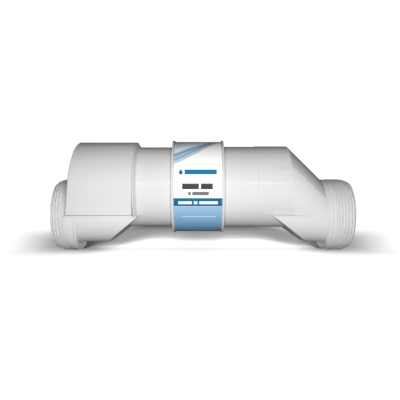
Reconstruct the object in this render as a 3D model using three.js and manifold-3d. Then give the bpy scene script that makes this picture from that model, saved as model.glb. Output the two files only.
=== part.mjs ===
// Salt chlorine generator cell: a horizontal electrolysis tube with two offset threaded ports,
// a terminal housing over its inlet end and a stack of electrode plates inside.
// Millimetres, +Z up. The tube runs along X, the inlet is at -X, and the cable gland faces +Y.

import * as THREE from "three";
import { mergeVertices } from "three/addons/utils/BufferGeometryUtils.js";
import Module from "manifold-3d";

const wasm = await Module();
wasm.setup();

// ---- driving dimensions -------------------------------------------------------------------

const TUBE_R = 57.15; // outside of a 4 inch pipe
const TUBE_WALL = 4.6;
const TUBE_Z = 91.5; // height of the tube axis over the lowest point of the ports
const PORT_DROP = 40.4; // the port axis lies this far under the tube axis
const PORT_Z = TUBE_Z - PORT_DROP;
const GAP = 0.3; // clearance between neighbouring pieces
const ROUND = 40; // facets round the large diameters

const INLET_END = -205;
const OUTLET_END = 214;

const THREAD_R = PORT_Z; // the port threads reach down to the ground
const THREAD_ROOT_R = 48.6;
const THREAD_PITCH = 4.233;
const FACE_R = 46.8;
const BORE_R = 31;
const NECK_R = 48.5;
const THREAD_VALLEY = 1.3; // from the plain band to the first valley
const THREAD_RISE = 2.1; // from a valley to the next crest
const THREAD_LEAST = 1.8; // least depth of a valley
const THREAD_LEAD_IN = [2.7, 1.1, 0.3]; // how far the last crests lie under THREAD_R, from the face

const GROOVE_INNER_R = 37.4; // the groove for the seal in each port's face
const GROOVE_OUTER_R = 42.2;
const GROOVE_DEPTH = 4.3;
const O_RING_R = 39.8;
const O_RING_THICK_R = 1.9;
const O_RING_DEPTH = 2.2; // from the port's face to the middle of the ring

const KEEL_R = 38.6; // rounding of the lower body between tube and port
const KEEL_FLAT = 12; // half width of its flat bottom
const KEEL_WALL = 4.8;
const KEEL_HALF = KEEL_R + KEEL_FLAT;
const MITRE_TOP = 1.6; // the mitre reaches the keel's tip this far under the port axis
const KEEL_CAVITY_SHIFT = 7.8; // along the port, from the outer mitre to the inner one
const KEEL_CAVITY_DROP = 4;

const SLEEVE_LEFT = -38.7;
const SLEEVE_RIGHT = 33.1;
const SLEEVE_R = 66.7;
const RIM_WIDTH = 2.8;
const RIM_RAMP = 0.4;
const LABEL_R = 64.9;
const LABEL_THICK = 0.4;
const JOINT_X = -2.9; // the two tube mouldings meet here, under the sleeve
const JOINT_HALF = 1.5; // half of the space between them
const SEAL_HALF = 1.2;

const OUTLET_TUBE_R = 57.9;
const OUTLET_SKIRT_R = 58.5;
const OUTLET_SKIRT_X = 78;
const SLOPE_START = 124.2;
const SLOPE_END = 173;

const HOUSING_LEFT = -180; // at its base
const HOUSING_LEAN = 0.068; // its left end leans inwards by this much of the height
const HOUSING_RIGHT = -91.4;
const HOUSING_R = 64.1;
const HOUSING_WALL = 3;
const HOUSING_BASE_Z = TUBE_Z - 40;
const HOUSING_EDGE = 1; // chamfer of its end
const HOUSING_GAP = 0.4; // clearance over the tube and over the port's neck
const SHOULDER_END = -86.2; // end of the cone on the tube that the housing butts against
const SHOULDER_SINK = 1; // how far the cone runs on into the tube and into the seat
const SEAT_THICK = 2.6; // plate that the housing stands on

const END_WALL_X = -124; // closed end of the electrode tube, inside the housing
const END_WALL = 5;
const NECK_CAVITY_DROP = 4.6; // the neck's water way reaches this far under the port axis

const PLATE_COUNT = 7;
const PLATE_PITCH = 6;
const PLATE_THICK = 1;
const PLATE_HALF_Z = 38;
const PLATE_START = -112.7;
const PLATE_END = 96;
const SPACER_X = [-60, 44];
const SPACER_R = 3;
const SPACER_HALF = 20.5;
const COMB_X = [-96, 84]; // inlet and outlet combs
const COMB_LENGTH = 10;
const COMB_HALF = 36;
const COMB_LOW = 33.5; // from the tube axis to a comb's inner face

const HEADER_Z = TUBE_Z + 26;
const HEADER_R = 22;
const FLANGE_THICK = 5;
const GASKET_SPACE = 2.2;
const STUD_R = 3;
const STUD_Y = 11;
const WASHER_R = 6.4;
const WASHER_THICK = 1.2;
const NUT_R = 6.2;
const NUT_THICK = 5;
const STUD_HOLE_R = 3.4; // of its washer and nut
const PROBE_R = 2.5;
const PROBE_HEAD_R = 4.4;
const PROBE_HEAD = 9; // length of its head
const STUD_OUT = 4; // how far a stud stands out of its nut
const BUSBAR = [3, 15, 14];

const GLAND_X = -146;
const GLAND_Z = TUBE_Z - 18;
const GLAND_LENGTH = 25; // how far the gland stands out of the housing
const GLAND_THREAD_R = 11.8;
const GLAND_HOLE_R = 12.4;
const GLAND_INSIDE = 9; // length of its thread behind the wall
const GLAND_HEX = [2, 7]; // its hexagon, from the wall
const GLAND_CHUCK = 16; // end of the fingers that grip the seal
const LOCKNUT = [3.4, 7.5]; // behind the wall
const DOME_NUT = [7.5, 17, 23]; // start, end of its straight part, end of its dome
const DOME_END_R = 9.4;
const SEAL_OVERHANG = 0.4; // how far the seal stands out of the fingers
const CABLE_R = 5; // the cable that the gland takes

// ---- materials ----------------------------------------------------------------------------

function material(color, roughness, metalness) {
  return new THREE.MeshStandardMaterial({ color, roughness, metalness });
}

const WHITE = [0xf1f1ef, 0.28, 0];
const HOUSING_WHITE = [0xeeeeec, 0.36, 0];
const LABEL = [0x6fa3c4, 0.3, 0];
const COMB = [0xd9dbd6, 0.5, 0];
const PLATE = [0x75777a, 0.5, 0.8];
const TITANIUM = [0x9a9b9d, 0.35, 0.9];
const STEEL = [0xb4b6b8, 0.3, 1];
const SEAL = [0x1e1f20, 0.75, 0];
const GLAND = [0x2b2c2e, 0.5, 0];

// The part's frame has its origin at the centre of the inlet port's face.
const part = new THREE.Group();
part.name = "salt_chlorine_generator";
part.position.set(-INLET_END, 0, -PORT_Z);

function add(name, geometry, finish) {
  const mesh = new THREE.Mesh(geometry, material(...finish));
  mesh.name = name;
  part.add(mesh);
  return mesh;
}

// ---- solids -------------------------------------------------------------------------------

function solid(geometry) {
  const bare = new THREE.BufferGeometry();
  const source = geometry.index ? geometry.toNonIndexed() : geometry;
  bare.setAttribute("position", source.getAttribute("position"));
  const merged = mergeVertices(bare, 1e-4);
  return new wasm.Manifold(
    new wasm.Mesh({
      numProp: 3,
      vertProperties: new Float32Array(merged.attributes.position.array),
      triVerts: new Uint32Array(merged.index.array),
    }),
  );
}

function shape(body) {
  const mesh = body.getMesh();
  const geometry = new THREE.BufferGeometry();
  const positions = new Float32Array(mesh.numVert * 3);
  for (let i = 0; i < mesh.numVert; i++) {
    const at = i * mesh.numProp;
    positions.set(mesh.vertProperties.subarray(at, at + 3), i * 3);
  }
  geometry.setAttribute("position", new THREE.BufferAttribute(positions, 3));
  geometry.setIndex(new THREE.BufferAttribute(mesh.triVerts, 1));
  return geometry;
}

// A body built from additions and cuts, each a geometry.
function carve(additions, cuts = []) {
  let body = solid(additions[0]);
  for (const piece of additions.slice(1)) body = body.add(solid(piece));
  for (const piece of cuts) body = body.subtract(solid(piece));
  return shape(body);
}

// Turns a closed outline of [x, r] pairs round an axis along X at height z.
function turned(outline, z = TUBE_Z, y = 0, facets = ROUND) {
  const closed = [...outline];
  if (outline[0][1] > 0) closed.push(outline[0]);
  const points = closed.map(([x, r]) => new THREE.Vector2(r, x));
  const geometry = new THREE.LatheGeometry(points, facets);
  geometry.rotateZ(-Math.PI / 2);
  geometry.rotateX(-Math.PI / 2);
  geometry.translate(0, y, z);
  return geometry;
}

function ring(x0, x1, inner, outer, z = TUBE_Z, y = 0, facets = ROUND) {
  return turned([[x0, inner], [x0, outer], [x1, outer], [x1, inner]], z, y, facets);
}

function rod(x0, x1, r, z = TUBE_Z, y = 0, facets = ROUND) {
  return turned([[x0, 0], [x0, r], [x1, r], [x1, 0]], z, y, facets);
}

// Joins rings of [x, y, z] points that run anticlockwise seen from +X, in order of X.
function skin(rings) {
  const count = rings[0].length;
  const positions = rings.flat(2);
  const index = [];
  for (let s = 0; s < rings.length - 1; s++) {
    for (let i = 0; i < count; i++) {
      const a = s * count + i;
      const b = s * count + ((i + 1) % count);
      index.push(a, b, b + count, a, b + count, a + count);
    }
  }
  const last = (rings.length - 1) * count;
  for (let i = 1; i < count - 1; i++) {
    index.push(0, i + 1, i);
    index.push(last, last + i, last + i + 1);
  }
  const geometry = new THREE.BufferGeometry();
  geometry.setAttribute("position", new THREE.Float32BufferAttribute(positions, 3));
  geometry.setIndex(index);
  return geometry;
}

function circleRing(x, r, z) {
  const points = [];
  for (let i = 0; i < ROUND; i++) {
    const t = (i * 2 * Math.PI) / ROUND;
    points.push([x, r * Math.cos(t), z + r * Math.sin(t)]);
  }
  return points;
}

// An inverted U: a half circle on an axis at axisZ with straight sides down to baseZ.
function archRing(x, r, baseZ, axisZ = TUBE_Z) {
  const points = [];
  const steps = ROUND / 2;
  for (let i = 0; i <= steps; i++) {
    const t = (i * Math.PI) / steps;
    points.push([x, r * Math.cos(t), axisZ + r * Math.sin(t)]);
  }
  points.push([x, -r, baseZ]);
  points.push([x, r, baseZ]);
  return points;
}

// The section where a body meets its port: a half circle above the port axis, and the keel below.
function portRing(x, lowerR) {
  const points = [];
  for (let i = 0; i < ROUND; i++) {
    const t = (i * 2 * Math.PI) / ROUND;
    const c = Math.cos(t);
    const s = Math.sin(t);
    const side = Math.sign(Math.round(c * 1e6));
    const y = s >= 0 ? (lowerR + KEEL_FLAT) * c : side * KEEL_FLAT + lowerR * c;
    const height = s >= 0 ? (lowerR + KEEL_FLAT) * s : lowerR * s;
    points.push([x, y, PORT_Z + height]);
  }
  return points;
}

// Half a keel section, from its left top edge round the bottom to its right top edge.
function keelRing(r, topDrop, xOf) {
  const start = Math.asin(topDrop / r);
  const steps = ROUND / 2;
  const points = [];
  for (let i = 0; i <= steps; i++) {
    const t = Math.PI + start + (i * (Math.PI - 2 * start)) / steps;
    const side = Math.sign(Math.round(Math.cos(t) * 1e6));
    const z = PORT_Z + r * Math.sin(t);
    points.push([xOf(z), side * KEEL_FLAT + r * Math.cos(t), z]);
  }
  return points;
}

// The lower body under one end: mitred towards the middle, square at its port.
function keel(end, inside) {
  const r = inside ? KEEL_R - KEEL_WALL : KEEL_R;
  const topDrop = inside ? KEEL_CAVITY_DROP : 0;
  const shift = inside ? KEEL_CAVITY_SHIFT : 0;
  const run = (end.keelFoot - end.keelTip) / (KEEL_R - MITRE_TOP);
  const mitre = (z) => end.keelTip + end.side * shift + run * (PORT_Z - MITRE_TOP - z);
  const square = () => (inside ? end.cavityEnd : end.keelEnd);
  const rings = [keelRing(r, topDrop, mitre), keelRing(r, topDrop, square)];
  return skin(end.side > 0 ? rings : rings.reverse());
}

// The outside of a threaded port: neck groove, plain band and thread ridges, to its end face.
function threadedBoss(end) {
  const outline = [
    [end.neckStart, 0],
    [end.neckStart, NECK_R],
    [end.bandStart, NECK_R],
    [end.bandStart + end.side * 0.2, THREAD_R],
    [end.bandEnd, THREAD_R],
  ];
  for (let k = 0; k < end.turns; k++) {
    const left = end.turns - k;
    const crest = THREAD_R - (THREAD_LEAD_IN[left - 1] ?? 0);
    const x = end.bandEnd + end.side * (THREAD_VALLEY + k * THREAD_PITCH);
    outline.push([x, Math.min(THREAD_ROOT_R, crest - THREAD_LEAST)]);
    outline.push([x + end.side * THREAD_RISE, crest]);
  }
  outline.push([end.face, FACE_R]);
  outline.push([end.face, 0]);
  return turned(end.side > 0 ? outline : outline.reverse(), PORT_Z);
}

function faceGroove(end) {
  const depth = end.face - end.side * GROOVE_DEPTH;
  const span = [depth, end.face + end.side].sort((a, b) => a - b);
  return ring(span[0], span[1], GROOVE_INNER_R, GROOVE_OUTER_R, PORT_Z);
}

const inlet = {
  side: -1,
  face: INLET_END,
  neckStart: -171,
  bandStart: -173.5,
  bandEnd: -184,
  turns: 5,
  keelTip: -83.9,
  keelFoot: -130,
  keelEnd: -171.5,
  cavityEnd: -167,
};
const outlet = {
  side: 1,
  face: OUTLET_END,
  neckStart: 176,
  bandStart: 181.2,
  bandEnd: 185.7,
  turns: 6,
  keelTip: 100.3,
  keelFoot: 150,
  keelEnd: 178.2,
  cavityEnd: 168,
};

// ---- outlet body --------------------------------------------------------------------------

const OUTLET_INNER_R = OUTLET_TUBE_R - TUBE_WALL;

const outletTube = turned([
  [JOINT_X + JOINT_HALF, 0],
  [JOINT_X + JOINT_HALF, OUTLET_TUBE_R],
  [OUTLET_SKIRT_X, OUTLET_TUBE_R],
  [OUTLET_SKIRT_X + 0.6, OUTLET_SKIRT_R],
  [SLOPE_START, OUTLET_SKIRT_R],
  [SLOPE_START, 0],
]);
const outletSlope = skin([
  circleRing(SLOPE_START - 1, OUTLET_SKIRT_R, TUBE_Z),
  circleRing(SLOPE_START, OUTLET_SKIRT_R, TUBE_Z),
  portRing(SLOPE_END, KEEL_R),
  portRing(outlet.keelEnd, KEEL_R),
]);
const outletCavity = skin([
  circleRing(JOINT_X, OUTLET_INNER_R, TUBE_Z),
  circleRing(SLOPE_START - 4, OUTLET_INNER_R, TUBE_Z),
  portRing(outlet.cavityEnd, KEEL_R - KEEL_WALL),
]);
const outletBore = rod(outlet.cavityEnd - 4, OUTLET_END + 1, BORE_R, PORT_Z);

add(
  "outlet_body",
  carve(
    [outletTube, outletSlope, keel(outlet, false), threadedBoss(outlet)],
    [outletCavity, keel(outlet, true), outletBore, faceGroove(outlet)],
  ),
  WHITE,
);

// ---- inlet body ---------------------------------------------------------------------------

const INLET_INNER_R = TUBE_R - TUBE_WALL;
const SEAT_TOP = HOUSING_BASE_Z - GAP;
const SEAT_BOTTOM = SEAT_TOP - SEAT_THICK;

// The flat seat that the terminal housing stands on, its nose narrowed to the keel's tip.
function seatPlate() {
  const outline = new THREE.Shape();
  outline.moveTo(HOUSING_LEFT, -HOUSING_R);
  outline.lineTo(HOUSING_RIGHT, -HOUSING_R);
  outline.lineTo(inlet.keelTip, -KEEL_HALF);
  outline.lineTo(inlet.keelTip, KEEL_HALF);
  outline.lineTo(HOUSING_RIGHT, HOUSING_R);
  outline.lineTo(HOUSING_LEFT, HOUSING_R);
  outline.closePath();
  const plate = new THREE.ExtrudeGeometry(outline, {
    depth: SEAT_TOP - SEAT_BOTTOM,
    bevelEnabled: false,
  });
  plate.translate(0, 0, SEAT_BOTTOM);
  return plate;
}

// The cone that stands on the tube, down to within the seat plate.
function shoulder() {
  const start = HOUSING_RIGHT + GAP;
  const slope = (SHOULDER_END - start) / (HOUSING_R - TUBE_R);
  const end = SHOULDER_END + slope * SHOULDER_SINK;
  const cone = turned([[start, 0], [start, HOUSING_R], [end, TUBE_R - SHOULDER_SINK], [end, 0]]);
  const below = new THREE.BoxGeometry(4 * HOUSING_R, 4 * HOUSING_R, 2 * HOUSING_R);
  below.translate(start, 0, SEAT_BOTTOM + SHOULDER_SINK - HOUSING_R);
  return carve([cone], [below]);
}

const inletTube = rod(END_WALL_X, JOINT_X - JOINT_HALF, TUBE_R);
const inletNeck = skin(
  [inlet.neckStart - 1, END_WALL_X + END_WALL].map((x) =>
    archRing(x, KEEL_R, PORT_Z - 2, PORT_Z),
  ),
);
const inletCavity = rod(END_WALL_X + END_WALL, JOINT_X, INLET_INNER_R);
const inletNeckCavity = skin(
  [inlet.cavityEnd, END_WALL_X + END_WALL + 1].map((x) =>
    archRing(x, KEEL_R - KEEL_WALL, PORT_Z - NECK_CAVITY_DROP, PORT_Z),
  ),
);
const inletBore = rod(INLET_END - 1, inlet.cavityEnd + 4, BORE_R, PORT_Z);
const headerHole = rod(END_WALL_X - 1, END_WALL_X + END_WALL + 1, HEADER_R, HEADER_Z, 0, 32);

add(
  "inlet_body",
  carve(
    [inletTube, inletNeck, keel(inlet, false), seatPlate(), shoulder(), threadedBoss(inlet)],
    [inletCavity, inletNeckCavity, keel(inlet, true), inletBore, headerHole, faceGroove(inlet)],
  ),
  WHITE,
);

// ---- sleeve, label and seals --------------------------------------------------------------

const LABEL_SEAT_R = LABEL_R - LABEL_THICK - GAP;
const LABEL_INSET = RIM_WIDTH + 2 * RIM_RAMP;

add(
  "coupling_sleeve",
  turned(
    [
      [SLEEVE_LEFT, TUBE_R + GAP],
      [SLEEVE_LEFT, SLEEVE_R],
      [SLEEVE_LEFT + RIM_WIDTH, SLEEVE_R],
      [SLEEVE_LEFT + RIM_WIDTH + RIM_RAMP, LABEL_SEAT_R],
      [SLEEVE_RIGHT - RIM_WIDTH - RIM_RAMP, LABEL_SEAT_R],
      [SLEEVE_RIGHT - RIM_WIDTH, SLEEVE_R],
      [SLEEVE_RIGHT, SLEEVE_R],
      [SLEEVE_RIGHT, OUTLET_TUBE_R + GAP],
      [JOINT_X, OUTLET_TUBE_R + GAP],
      [JOINT_X, TUBE_R + GAP],
    ],
  ),
  WHITE,
);
add(
  "label_band",
  ring(SLEEVE_LEFT + LABEL_INSET, SLEEVE_RIGHT - LABEL_INSET, LABEL_R - LABEL_THICK, LABEL_R),
  LABEL,
);
add(
  "centre_joint_seal",
  ring(JOINT_X - SEAL_HALF, JOINT_X + SEAL_HALF, OUTLET_INNER_R + GAP, TUBE_R - GAP),
  SEAL,
);

for (const [name, end] of [["inlet", inlet], ["outlet", outlet]]) {
  const geometry = new THREE.TorusGeometry(O_RING_R, O_RING_THICK_R, 6, 28);
  geometry.rotateY(Math.PI / 2);
  geometry.translate(end.face - end.side * O_RING_DEPTH, 0, PORT_Z);
  add(name + "_face_o_ring", geometry, SEAL);
}

// ---- terminal housing ---------------------------------------------------------------------

// An arch whose x grows with its height over the housing's base.
function leaningRing(x, r, baseZ) {
  return archRing(x, r, baseZ).map(([, y, z]) => [x + HOUSING_LEAN * (z - HOUSING_BASE_Z), y, z]);
}

const housingOutside = skin([
  leaningRing(HOUSING_LEFT, HOUSING_R - HOUSING_EDGE, HOUSING_BASE_Z),
  leaningRing(HOUSING_LEFT + HOUSING_EDGE, HOUSING_R, HOUSING_BASE_Z),
  archRing(HOUSING_RIGHT, HOUSING_R, HOUSING_BASE_Z),
]);
const housingInside = skin([
  leaningRing(HOUSING_LEFT + HOUSING_WALL, HOUSING_R - HOUSING_WALL, HOUSING_BASE_Z - 5),
  archRing(HOUSING_RIGHT - HOUSING_WALL, HOUSING_R - HOUSING_WALL, HOUSING_BASE_Z - 5),
]);
const tubeClearance = rod(HOUSING_RIGHT - 2 * HOUSING_WALL, HOUSING_RIGHT + 1, TUBE_R + HOUSING_GAP);
const neckClearance = rod(
  HOUSING_LEFT - 2,
  HOUSING_LEFT + 3 * HOUSING_WALL,
  THREAD_R + HOUSING_GAP,
  PORT_Z,
);
const glandHole = new THREE.CylinderGeometry(GLAND_HOLE_R, GLAND_HOLE_R, 4 * HOUSING_WALL, 24);
glandHole.translate(GLAND_X, HOUSING_R, GLAND_Z);

add(
  "terminal_housing",
  carve([housingOutside], [housingInside, tubeClearance, neckClearance, glandHole]),
  HOUSING_WHITE,
);

// ---- cable gland --------------------------------------------------------------------------

// Turns a closed outline of [y, r] pairs round the gland's axis, which points along +Y.
function glandTurned(outline, facets = 18) {
  const closed = [...outline];
  if (outline[0][1] > 0) closed.push(outline[0]);
  const points = closed.map(([y, r]) => new THREE.Vector2(r, y));
  const geometry = new THREE.LatheGeometry(points, facets);
  geometry.rotateY(Math.PI / 6);
  geometry.translate(GLAND_X, 0, GLAND_Z);
  return geometry;
}

const OUT_Y = HOUSING_R;
const GLAND_BORE_R = CABLE_R + 0.8;
const SEAL_BORE_R = CABLE_R + 0.5;
const CHUCK_R = GLAND_THREAD_R - 2.2;
const HEX_R = GLAND_THREAD_R + 3.4;

add(
  "gland_body",
  glandTurned([
    [OUT_Y - GLAND_INSIDE, GLAND_THREAD_R],
    [OUT_Y + GLAND_HEX[0], GLAND_THREAD_R],
    [OUT_Y + GLAND_HEX[0], HEX_R],
    [OUT_Y + GLAND_HEX[1], HEX_R],
    [OUT_Y + GLAND_HEX[1], GLAND_THREAD_R],
    [OUT_Y + GLAND_CHUCK, GLAND_THREAD_R],
    [OUT_Y + GLAND_CHUCK, CHUCK_R],
    [OUT_Y + GLAND_HEX[1], CHUCK_R],
    [OUT_Y + GLAND_HEX[1], GLAND_BORE_R],
    [OUT_Y - GLAND_INSIDE, GLAND_BORE_R],
  ]),
  GLAND,
);
add(
  "gland_washer",
  glandTurned([
    [OUT_Y + GAP, GLAND_THREAD_R + GAP],
    [OUT_Y + GAP, HEX_R],
    [OUT_Y + GLAND_HEX[0] - GAP, HEX_R],
    [OUT_Y + GLAND_HEX[0] - GAP, GLAND_THREAD_R + GAP],
  ]),
  SEAL,
);
add(
  "gland_locknut",
  glandTurned([
    [OUT_Y - LOCKNUT[1], GLAND_THREAD_R + GAP],
    [OUT_Y - LOCKNUT[1], HEX_R],
    [OUT_Y - LOCKNUT[0], HEX_R],
    [OUT_Y - LOCKNUT[0], GLAND_THREAD_R + GAP],
  ]),
  GLAND,
);
add(
  "gland_nut",
  glandTurned([
    [OUT_Y + DOME_NUT[0], GLAND_THREAD_R + GAP],
    [OUT_Y + DOME_NUT[0], HEX_R],
    [OUT_Y + DOME_NUT[1], HEX_R],
    [OUT_Y + DOME_NUT[2], GLAND_THREAD_R],
    [OUT_Y + GLAND_LENGTH, DOME_END_R],
    [OUT_Y + GLAND_LENGTH, GLAND_BORE_R],
    [OUT_Y + DOME_NUT[1], GLAND_BORE_R],
    [OUT_Y + DOME_NUT[1], GLAND_THREAD_R + GAP],
  ]),
  GLAND,
);
add(
  "gland_seal",
  glandTurned([
    [OUT_Y + GLAND_HEX[1] + GAP, SEAL_BORE_R],
    [OUT_Y + GLAND_HEX[1] + GAP, CHUCK_R - GAP],
    [OUT_Y + GLAND_CHUCK + SEAL_OVERHANG, CHUCK_R - GAP],
    [OUT_Y + GLAND_CHUCK + SEAL_OVERHANG, SEAL_BORE_R],
  ]),
  SEAL,
);

// ---- electrode stack ----------------------------------------------------------------------

function plateGeometry() {
  const outline = new THREE.Shape();
  outline.moveTo(PLATE_START, -PLATE_HALF_Z);
  outline.lineTo(PLATE_END, -PLATE_HALF_Z);
  outline.lineTo(PLATE_END, PLATE_HALF_Z);
  outline.lineTo(PLATE_START, PLATE_HALF_Z);
  outline.closePath();
  for (const x of SPACER_X) {
    const hole = new THREE.Path();
    hole.absarc(x, 0, SPACER_R + GAP, 0, 2 * Math.PI, true);
    outline.holes.push(hole);
  }
  const geometry = new THREE.ExtrudeGeometry(outline, {
    depth: PLATE_THICK,
    bevelEnabled: false,
    curveSegments: 5,
  });
  geometry.rotateX(Math.PI / 2);
  geometry.translate(0, PLATE_THICK / 2, TUBE_Z);
  return geometry;
}

function plateY(i) {
  return (i - (PLATE_COUNT - 1) / 2) * PLATE_PITCH;
}

for (let i = 0; i < PLATE_COUNT; i++) {
  const plate = add("electrode_plate_" + (i + 1), plateGeometry(), PLATE);
  plate.position.y = plateY(i);
}

SPACER_X.forEach((x, i) => {
  const spacer = new THREE.CylinderGeometry(SPACER_R, SPACER_R, 2 * SPACER_HALF, 12);
  spacer.translate(x, 0, TUBE_Z);
  add("plate_spacer_rod_" + (i + 1), spacer, COMB);
});

// A comb: a segment of the tube's round with a slot for each plate.
function combGeometry(innerR) {
  const slotTop = PLATE_HALF_Z + 2 * GAP;
  const slotHalf = PLATE_THICK / 2 + GAP;
  const outline = new THREE.Shape();
  outline.moveTo(-COMB_HALF, COMB_LOW);
  for (let i = 0; i < PLATE_COUNT; i++) {
    const y = plateY(i);
    outline.lineTo(y - slotHalf, COMB_LOW);
    outline.lineTo(y - slotHalf, slotTop);
    outline.lineTo(y + slotHalf, slotTop);
    outline.lineTo(y + slotHalf, COMB_LOW);
  }
  outline.lineTo(COMB_HALF, COMB_LOW);
  const steps = 10;
  const edge = Math.acos(COMB_HALF / innerR);
  for (let i = 0; i <= steps; i++) {
    const t = edge + (i * (Math.PI - 2 * edge)) / steps;
    outline.lineTo(innerR * Math.cos(t), innerR * Math.sin(t));
  }
  outline.closePath();
  const geometry = new THREE.ExtrudeGeometry(outline, {
    depth: COMB_LENGTH,
    bevelEnabled: false,
  });
  geometry.rotateX(Math.PI / 2);
  geometry.rotateZ(Math.PI / 2);
  return geometry;
}

for (const [name, x, innerR] of [
  ["inlet", COMB_X[0], INLET_INNER_R - 0.5],
  ["outlet", COMB_X[1], OUTLET_INNER_R - 0.5],
]) {
  for (const [level, turn] of [["upper", 0], ["lower", Math.PI]]) {
    const comb = add(`${level}_comb_${name}`, combGeometry(innerR), COMB);
    comb.position.set(x, 0, TUBE_Z);
    comb.rotation.x = turn;
  }
}

// ---- terminal header ----------------------------------------------------------------------

const FLANGE_RIGHT = END_WALL_X - GASKET_SPACE;
const FLANGE_LEFT = FLANGE_RIGHT - FLANGE_THICK;
const FLANGE_R = HEADER_R + 4;
const PROBE_Z = HEADER_Z - 13;

const headerOutside = turned(
  [
    [FLANGE_LEFT, 0],
    [FLANGE_LEFT, FLANGE_R],
    [FLANGE_RIGHT, FLANGE_R],
    [FLANGE_RIGHT, HEADER_R - GAP],
    [END_WALL_X + END_WALL, HEADER_R - GAP],
    [END_WALL_X + END_WALL, 0],
  ],
  HEADER_Z,
  0,
  32,
);
const headerHoles = [-STUD_Y, STUD_Y].map((y) =>
  rod(FLANGE_LEFT - 1, END_WALL_X + END_WALL + 1, STUD_R + GAP, HEADER_Z, y, 16),
);
const probeHole = rod(FLANGE_LEFT - 1, END_WALL_X + END_WALL + 1, PROBE_R + GAP, PROBE_Z, 0, 16);

add("terminal_header", carve([headerOutside], [...headerHoles, probeHole]), COMB);
add(
  "header_gasket",
  ring(FLANGE_RIGHT + GAP, END_WALL_X - GAP, HEADER_R + GAP, FLANGE_R - 0.4, HEADER_Z, 0, 32),
  SEAL,
);
add(
  "temperature_probe",
  turned(
    [
      [FLANGE_LEFT - PROBE_HEAD, 0],
      [FLANGE_LEFT - PROBE_HEAD, PROBE_HEAD_R],
      [FLANGE_LEFT - GAP, PROBE_HEAD_R],
      [FLANGE_LEFT - GAP, PROBE_R],
      [PLATE_START - 2.5, PROBE_R],
      [PLATE_START - 1.5, 1.5],
      [PLATE_START - 1.5, 0],
    ],
    PROBE_Z,
    0,
    16,
  ),
  STEEL,
);

// A hexagonal nut round an axis along X.
function hexNut(x0, x1, acrossCorners, holeR, z, y) {
  const outline = new THREE.Shape();
  for (let i = 0; i < 6; i++) {
    const t = (i * Math.PI) / 3;
    const point = [acrossCorners * Math.cos(t), acrossCorners * Math.sin(t)];
    if (i === 0) outline.moveTo(...point);
    else outline.lineTo(...point);
  }
  outline.closePath();
  const hole = new THREE.Path();
  hole.absarc(0, 0, holeR, 0, 2 * Math.PI, true);
  outline.holes.push(hole);
  const geometry = new THREE.ExtrudeGeometry(outline, {
    depth: x1 - x0,
    bevelEnabled: false,
    curveSegments: 6,
  });
  geometry.rotateY(Math.PI / 2);
  geometry.translate(x0, y, z);
  return geometry;
}

const WASHER_X = FLANGE_LEFT - GAP - WASHER_THICK;
const NUT_X = WASHER_X - GAP - NUT_THICK;
const BUSBAR_X = PLATE_START - 2.2; // its middle, just clear of the plates' ends

[-STUD_Y, STUD_Y].forEach((y, i) => {
  const n = i + 1;
  const washerEnd = WASHER_X + WASHER_THICK;
  const stud = rod(NUT_X - STUD_OUT, BUSBAR_X - 2, STUD_R, HEADER_Z, y, 16);
  add("terminal_stud_" + n, stud, TITANIUM);
  add("stud_washer_" + n, ring(WASHER_X, washerEnd, STUD_HOLE_R, WASHER_R, HEADER_Z, y, 20), STEEL);
  add("stud_nut_" + n, hexNut(NUT_X, NUT_X + NUT_THICK, NUT_R, STUD_HOLE_R, HEADER_Z, y), STEEL);
});

// Two busbars across the ends of the plates carry the current from the studs.
[-STUD_Y, STUD_Y].forEach((y, i) => {
  const bar = new THREE.BoxGeometry(...BUSBAR);
  bar.translate(BUSBAR_X, y, HEADER_Z - 1);
  add("busbar_" + (i + 1), bar, TITANIUM);
});

export default part;
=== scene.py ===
"""Looks of a salt chlorine generator cell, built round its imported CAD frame: fine surfaces, real helical
port threads, procedural materials, a plain stage, lights and the camera."""

import math
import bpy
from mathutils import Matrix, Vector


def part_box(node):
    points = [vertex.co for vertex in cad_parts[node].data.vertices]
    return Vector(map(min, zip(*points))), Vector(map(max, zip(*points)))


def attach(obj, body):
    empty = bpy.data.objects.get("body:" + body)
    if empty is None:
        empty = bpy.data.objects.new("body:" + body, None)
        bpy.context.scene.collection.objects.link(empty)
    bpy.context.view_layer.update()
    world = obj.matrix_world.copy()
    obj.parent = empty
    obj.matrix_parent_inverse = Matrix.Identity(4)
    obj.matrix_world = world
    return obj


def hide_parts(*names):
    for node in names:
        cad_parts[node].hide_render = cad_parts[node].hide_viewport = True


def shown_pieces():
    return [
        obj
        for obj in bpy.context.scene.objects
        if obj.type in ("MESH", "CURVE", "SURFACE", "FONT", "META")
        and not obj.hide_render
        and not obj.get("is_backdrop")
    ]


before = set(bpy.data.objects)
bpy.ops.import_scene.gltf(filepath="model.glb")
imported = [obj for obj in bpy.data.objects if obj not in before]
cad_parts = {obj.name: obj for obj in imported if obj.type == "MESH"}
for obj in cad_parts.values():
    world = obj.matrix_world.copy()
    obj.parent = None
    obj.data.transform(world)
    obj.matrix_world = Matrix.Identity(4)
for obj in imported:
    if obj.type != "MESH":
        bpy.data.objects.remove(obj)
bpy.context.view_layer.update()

from types import SimpleNamespace

import bmesh
import bpy
from mathutils import Vector

# ---- sizes, in millimetres ---------------------------------------------------------------------

MM = 0.001
SEGMENTS = 192  # round a large diameter
CREASE = math.radians(28)  # sharper edges than this aren't shaded smooth
SHARP = 0.5  # radians; flatter edges than this are never rounded
SAME_PLACE = 0.002 * MM  # points nearer than this are one point
NEAR = 0.01  # how far a point may lie from the plane that an edge is chosen by


def span(node):
    """Lowest and highest corner of a CAD node, in millimetres."""
    low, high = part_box(node)
    return low / MM, high / MM


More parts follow.
